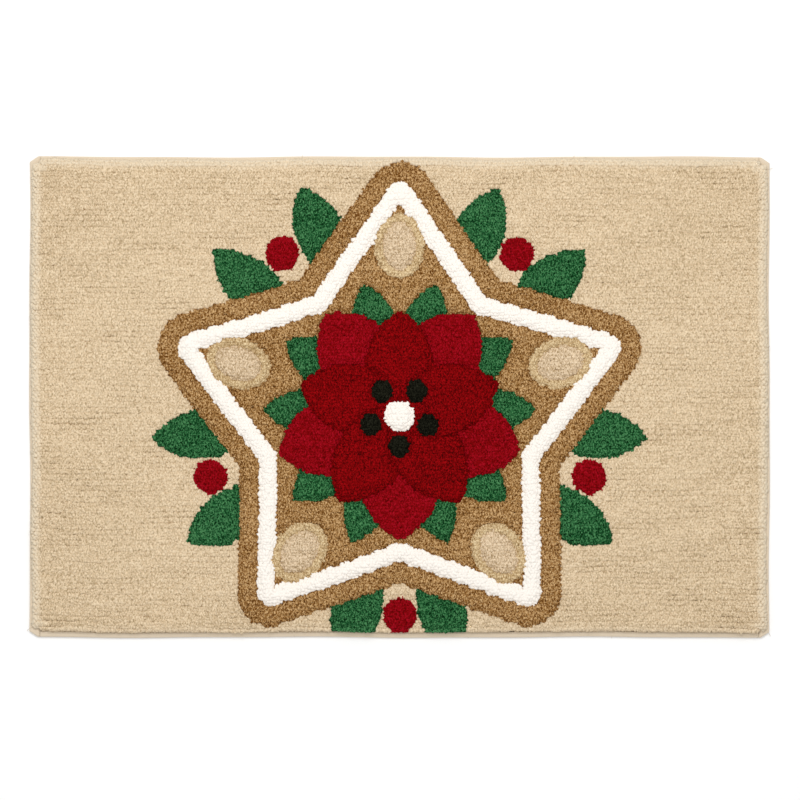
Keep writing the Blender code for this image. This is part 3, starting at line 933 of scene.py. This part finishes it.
def tape_paths(section):
    """Middle lines of the sections: (station, point, inset and height). The fold is half an oval between
    the layers. The lip droops by share cubed, puffs by sin(pi share) and climbs by share squared."""
    half = TAPE_THICKNESS / 2
    low, high = half, TAPE_HEIGHT - half - section.press
    bend = (high - low) / 2
    turn = np.linspace(-pi / 2, -3 * pi / 2, FOLD_STEPS)
    share = np.linspace(0, 1, BAND_STEPS, endpoint=False)
    start = section.outer + half + FOLD_REACH
    band_u = section.band[:, None] * (1 - share) + start[:, None] * share
    band_z = np.broadcast_to(low, band_u.shape)
    fold_u = start[:, None] + FOLD_REACH * np.cos(turn)
    fold_z = (low + bend)[:, None] + bend[:, None] * np.sin(turn)
    share = np.linspace(0, 1, LIP_STEPS + 1)[1:]
    lip_u = start[:, None] * (1 - share) + section.lip[:, None] * share
    lip_z = high[:, None] - LIP_DROOP * share ** 3 + section.puff[:, None] * np.sin(pi * share)
    lip_z = lip_z + section.climb[:, None] * share ** 2
    path_u = np.concatenate([band_u, fold_u, lip_u], 1)
    path_z = np.concatenate([band_z, fold_z, lip_z], 1)
    return np.stack([path_u, path_z], -1)


def thickened(paths):
    """Closed sections: each path shifted by half the thickness to its left, then back along its right."""
    along = np.gradient(paths, axis=1)
    along = along / np.linalg.norm(along, axis=2, keepdims=True)
    side = np.stack([along[..., 1], -along[..., 0]], -1) * TAPE_THICKNESS / 2
    return np.concatenate([paths + side, (paths - side)[:, ::-1]], 1)


def strip_faces(stations, size):
    """Triangles between neighbouring sections, and over both ends from a section's one side to the other."""
    r, i = np.meshgrid(np.arange(stations - 1), np.arange(size), indexing="ij")
    a, b = r * size + i, r * size + (i + 1) % size
    walls = quads(a, b, b + size, a + size)
    i = np.arange(size // 2 - 1)
    j = size - 1 - i
    cap = quads(i, j, j - 1, i + 1)
    return np.concatenate([walls, cap, cap[:, ::-1] + (stations - 1) * size])


def runs(first, length, ends):
    """Distances along a tape: close together near its ends and even between them."""
    near = first + np.asarray(ends)
    count = ceil((length - 2 * near[-1]) / TAPE_STEP)
    middle = np.linspace(near[-1], length - near[-1], count + 1)[1:-1]
    return np.concatenate([near, middle, (length - near)[::-1]])


def tape_piece(name, run, length, plan, section, flip):
    """A tape from its numbers at each station; plan turns (run, inset) into x and y. It keeps each point's
    way along the tape, and its way around: the summed length of the section's path from the band's edge."""
    wobble = TAPE_WOBBLE * cloud(run, 0 * run + length, WOBBLE_CLOUD, 30)
    paths = tape_paths(section._replace(lip=section.lip + wobble))
    sections = thickened(paths)
    x, y = plan(run[:, None], sections[..., 0])
    points = np.stack([x, y, sections[..., 1]], -1).reshape(-1, 3)
    faces = strip_faces(len(run), sections.shape[1])
    if flip:
        faces = faces[:, ::-1]
    piece = mesh_object(name, points, faces)
    steps = np.linalg.norm(np.diff(paths, axis=1), axis=2)
    way = np.concatenate([np.zeros((len(run), 1)), np.cumsum(steps, 1)], 1)
    way = way + TAPE_BAND - section.band[:, None]
    add_numbers(piece, "around", np.concatenate([way, way[:, ::-1]], 1))
    add_numbers(piece, "along", np.broadcast_to(run[:, None], sections.shape[:2]))
    return piece


def side_tape(name, side):
    """Tape of a short side. Near its ends the lip widens to a puffed patch, and the very end is pressed shut
    along a quarter of a circle."""
    run = runs(0.0, RUG_WIDTH, np.array(SIDE_MARKS) * MM)
    end = np.minimum(run, RUG_WIDTH - run)
    outer = MITRE_X * np.clip(1 - end / MITRE_Y, 0, 1)
    lip = np.where(end < PATCH_DEPTH, PATCH_LENGTH, TAPE_LIP)
    band = np.minimum(TAPE_BAND, PATCH_LENGTH + np.maximum(0, end - BAND_TURN))
    rounded = np.sqrt(1 - np.clip(1 - end / PRESS_LENGTH, 0, 1) ** 2)
    press = PATCH_PRESS * (1 - rounded)
    puff = PATCH_PUFF * np.sin(pi * np.clip(end / PATCH_DEPTH, 0, 1)) * (end < PATCH_DEPTH)

    def plan(run, inset):
        return side * (HALF_LENGTH - inset) + 0 * run, run - HALF_WIDTH + 0 * inset

    section = Section(outer, lip, band, press, puff, 0 * run)
    return tape_piece(name, run, RUG_WIDTH, plan, section, side > 0)


def end_tape(name, side):
    """Tape of a long side, between the corner patches. At the front its lip climbs up the pile's foot."""
    first = PATCH_LENGTH + CLEARANCE
    run = runs(first, RUG_LENGTH, np.array(END_MARKS) * MM)
    end = np.minimum(run, RUG_LENGTH - run)
    none = np.zeros(len(run))
    lip = np.full(len(run), TAPE_LIP + FRONT_TUCK * (side < 0))
    band = np.minimum(TAPE_BAND, end - first + BAND_START)
    climb = FRONT_CLIMB * (side < 0) * np.clip((end - first) / CLIMB_START, 0, 1)

    def plan(run, inset):
        return run - HALF_LENGTH + 0 * inset, side * (HALF_WIDTH - inset) + 0 * run

    section = Section(none, lip, band, none, none, climb)
    return tape_piece(name, run, RUG_LENGTH, plan, section, side < 0)


# %% Tape cloth
THREAD_PITCH = 0.8 * MM
SEAM_AROUND = 5.0 * MM
SEAM_HALF = 0.5 * MM
SEAM_STITCH = 4.0 * MM


def tape_material():
    """Plain weave: sine along times sine around, one thread apart, with a slow unevenness of tone.
    Underneath, the seam shows as dashes: a narrow line around, where a slower sine along is high."""
    paint = Paint("edge_tape_cloth")
    along = paint.stored("along")
    around = paint.stored("around")
    weave = paint.sine(along * (pi / THREAD_PITCH)) * paint.sine(around * (pi / THREAD_PITCH))
    speckle = paint.noise(900.0, 3.0)
    slow = paint.noise(60.0, 2.0)
    off_seam = paint.math("ABSOLUTE", around - SEAM_AROUND) * (1 / SEAM_HALF)
    dash = paint.math("GREATER_THAN", paint.sine(along * (tau / SEAM_STITCH)), -0.5)
    seam = dash * paint.math("LESS_THAN", off_seam, 1.0)
    tone = 0.90 + 0.05 * weave + 0.12 * speckle + 0.08 * slow + 0.12 * seam
    colour = paint.mix("MULTIPLY", 1.0, opaque((0.700, 0.588, 0.446)), tone)
    height = 0.5 * weave + speckle * 0.6 + seam
    return paint.finish(colour, 0.88, paint.bump(height, 0.12 * MM, 0.5))


tape_cloth = tape_material()
tapes = []
for where, side in (("left", -1), ("right", 1), ("back", 1), ("front", -1)):
    make = side_tape if where in ("left", "right") else end_tape
    tapes.append(dress(make("edge_tape_" + where, side), "tape_" + where, tape_cloth))

# %% [markdown]
# ## Sewing
# One seam round the lip holds the tape. Each stitch is a short arch of thread whose ends dive into the
# cloth, and where a seam was cut off a loose end stays. All are thin tubes along a path, so one function
# makes them: rings of four points round every path at once.

# %% Threads
THREAD_RADIUS = 0.22 * MM
THREAD_SIDES = 4
SEAM_INSET = 4.3 * MM
STITCH_PITCH = 4.0 * MM
STITCH_SPAN = 3.4 * MM
STITCH_FOOT = TAPE_HEIGHT - 0.30 * MM
STITCH_RISE = 0.36 * MM
STITCH_POINTS = 5
LOOSE_POINTS = 9
LOOSE_FOOT = TAPE_HEIGHT - 0.15 * MM


def thread_piece(name, paths):
    """Tubes along paths (thread, point, xyz). A ring is radius * (cos a * side + sin a * over), where side
    is level and square to the path; both ends are closed."""
    n, m, _ = paths.shape
    along = np.gradient(paths, axis=1)
    along = along / np.linalg.norm(along, axis=2, keepdims=True)
    side = np.stack([along[..., 1], -along[..., 0], 0 * along[..., 0]], -1)
    side = side / np.linalg.norm(side, axis=2, keepdims=True)
    over = np.cross(side, along)
    angle = tau * np.arange(THREAD_SIDES) / THREAD_SIDES
    ring = np.cos(angle)[:, None] * side[:, :, None] + np.sin(angle)[:, None] * over[:, :, None]
    points = (paths[:, :, None] + THREAD_RADIUS * ring).reshape(-1, 3)
    r, i = np.meshgrid(np.arange(m - 1), np.arange(THREAD_SIDES), indexing="ij")
    a, b = r * THREAD_SIDES + i, r * THREAD_SIDES + (i + 1) % THREAD_SIDES
    walls = quads(a, b, b + THREAD_SIDES, a + THREAD_SIDES)
    cap = np.array([(0, 2, 1), (0, 3, 2)])
    faces = np.concatenate([walls, cap, cap[:, ::-1] + (m - 1) * THREAD_SIDES])
    starts = m * THREAD_SIDES * np.arange(n)
    return mesh_object(name, points, (faces[None] + starts[:, None, None]).reshape(-1, 3))


def seam_line(start, finish, climb=0.0):
    """Stitches between two plan points: (stitch, point, xyz), each an arch by the root of sin(pi t)."""
    start, finish = np.array(start), np.array(finish)
    length = float(np.hypot(*(finish - start)))
    number = round(length / STITCH_PITCH)
    t = np.linspace(0, 1, STITCH_POINTS)
    run = (np.arange(number)[:, None] + 0.5) * length / number + (t - 0.5) * STITCH_SPAN
    plan = start + run[..., None] * (finish - start) / length
    height = STITCH_FOOT + STITCH_RISE * np.sin(pi * t) ** 0.5 + climb
    return np.concatenate([plan, np.broadcast_to(height[:, None], (number, STITCH_POINTS, 1))], 2)


def loose_ends(x, y, turn, length, seed):
    """Threads (thread, point, xyz) that leave the lip along a slow curve and sag by the run squared."""
    draw = np.random.default_rng(seed)
    t = np.linspace(0, 1, LOOSE_POINTS)
    bend = turn[:, None] + draw.normal(0, 0.5, (len(x), 1)) * t
    out_x = x[:, None] + length[:, None] * t * np.cos(bend)
    out_y = y[:, None] + length[:, None] * t * np.sin(bend)
    height = LOOSE_FOOT + 0.5 * MM * np.sin(pi * t) - 1.6 * MM * t ** 2
    return np.stack([out_x, out_y, np.broadcast_to(height, out_x.shape)], -1)


# %% Seam round the lip
SEAM_SHORT = 1.5 * MM
seam_x = HALF_LENGTH - SEAM_INSET
seam_y = HALF_WIDTH - SEAM_INSET
reach_x = HALF_LENGTH - MITRE_X
reach_y = HALF_WIDTH - MITRE_Y - SEAM_SHORT
front_x = HALF_LENGTH - PATCH_LENGTH - CLIMB_START
lip_starts = TAPE_THICKNESS / 2 + FOLD_REACH
climb_share = (SEAM_INSET - lip_starts) / (TAPE_LIP - lip_starts)
seams = [seam_line((-front_x, -seam_y), (front_x, -seam_y), FRONT_CLIMB * climb_share ** 2)]
seams.append(seam_line((-reach_x, seam_y), (reach_x, seam_y)))
seams += [seam_line((s * seam_x, -reach_y), (s * seam_x, reach_y)) for s in (-1, 1)]
stitches = thread_piece("sewing_stitches", np.concatenate(seams))
print(sum(len(seam) for seam in seams), "stitches")

# %% Loose ends
CORNER_X = MM * np.array([381, 381, -381])
CORNER_Y = MM * np.array([237, -243, -240])
CORNER_TURNS = (0.1, -0.3, 3.3)
CORNER_END = 7.5 * MM
SHORT_ENDS = 16
SHORT_INSET = 2 * MM

draw = np.random.default_rng(41)
spread = draw.uniform(-0.9, 0.9, SHORT_ENDS)
which = draw.choice([-1, 1], SHORT_ENDS)
loose_x = np.append(CORNER_X, spread * reach_x)
loose_y = np.append(CORNER_Y, which * (HALF_WIDTH - SHORT_INSET))
loose_turn = np.append(CORNER_TURNS, which * pi / 2 + draw.normal(0, 0.9, SHORT_ENDS))
loose_length = np.append(0 * CORNER_X + CORNER_END, draw.uniform(1.5, 3.5, SHORT_ENDS) * MM)
loose_paths = loose_ends(loose_x, loose_y, loose_turn, loose_length, 42)
loose_threads = thread_piece("loose_threads", loose_paths)
print(len(loose_paths), "loose ends")


# %% Thread finish
def thread_material():
    """Spun thread: bright and dark along its twist, with a low sheen."""
    paint = Paint("sewing_thread")
    twist = paint.noise(1500.0, 1.0)
    dark, light = opaque((0.50, 0.42, 0.31)), opaque((0.78, 0.69, 0.55))
    colour = paint.mix("MIX", twist, dark, light)
    return paint.finish(colour, 0.75, paint.bump(twist, 0.1 * MM, 0.4))


thread_paint = thread_material()
threads = [stitches, loose_threads]
for piece in threads:
    dress(piece, "tape_front", thread_paint)

# %% [markdown]
# ## The sheet
# The rug is one flat sheet of cloth with pile and tape on it.

pile_pieces + tapes + threads

# %% [markdown]
# ## Floor, light and camera
# The picture looks straight down on a white ground in soft light. A wide pale floor and a bright sky give
# the soft part, and a broad lamp high behind the back edge gives each yarn a lit side. The camera is far
# off, with a long lens that is worked out from how many pixels a metre of rug takes.

# %% Stage and camera
PICTURE_SIDE = 800
PIXELS_PER_METRE = 961.0
CAMERA_X = 0.5 * MM
CAMERA_Y = -3.1 * MM
CAMERA_HEIGHT = 3.2
SENSOR = 36.0
FLOOR_SIZE = 12.0
FLOOR_WHITE = 0.96
SKY_STRENGTH = 0.74
LAMP_PLACE = (-0.05, 0.85, 2.0)
LAMP_SIZE = 1.0
LAMP_WATTS = 22.6

bpy.ops.mesh.primitive_plane_add(size=FLOOR_SIZE, location=(0, 0, 0))
floor = bpy.context.object
floor.name = "floor"
floor_paint = Paint("floor_white")
floor.data.materials.append(floor_paint.finish(opaque([FLOOR_WHITE] * 3), 0.9))

world = bpy.data.worlds.new("soft_room")
world.use_nodes = True
sky = world.node_tree.nodes["Background"]
sky.inputs["Color"].default_value = opaque([1.0] * 3)
sky.inputs["Strength"].default_value = SKY_STRENGTH
bpy.context.scene.world = world

lamp_x, lamp_y, lamp_z = LAMP_PLACE
lamp_light = bpy.data.lights.new("key_lamp", "AREA")
lamp_light.size = LAMP_SIZE
lamp_light.energy = LAMP_WATTS
lamp = bpy.data.objects.new("key_lamp", lamp_light)
lamp.location = LAMP_PLACE
tip = atan2((lamp_x ** 2 + lamp_y ** 2) ** 0.5, lamp_z)
lamp.rotation_euler = (tip, 0, atan2(lamp_y, lamp_x) + pi / 2)
bpy.context.collection.objects.link(lamp)

eye = bpy.data.cameras.new("camera")
eye.sensor_width = SENSOR
eye.lens = SENSOR * (CAMERA_HEIGHT - TAPE_HEIGHT) / (PICTURE_SIDE / PIXELS_PER_METRE)
camera = bpy.data.objects.new("camera", eye)
camera.location = (CAMERA_X, CAMERA_Y, CAMERA_HEIGHT)
bpy.context.collection.objects.link(camera)
bpy.context.scene.camera = camera
bpy.context.scene.view_settings.view_transform = "Standard"
print("Lens", round(eye.lens, 1), "mm")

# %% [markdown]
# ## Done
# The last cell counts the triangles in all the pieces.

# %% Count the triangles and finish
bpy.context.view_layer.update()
all_pieces = [backing_sheet] + pile_pieces + tapes + threads
print("Triangles in all:", sum(len(piece.data.polygons) for piece in all_pieces))
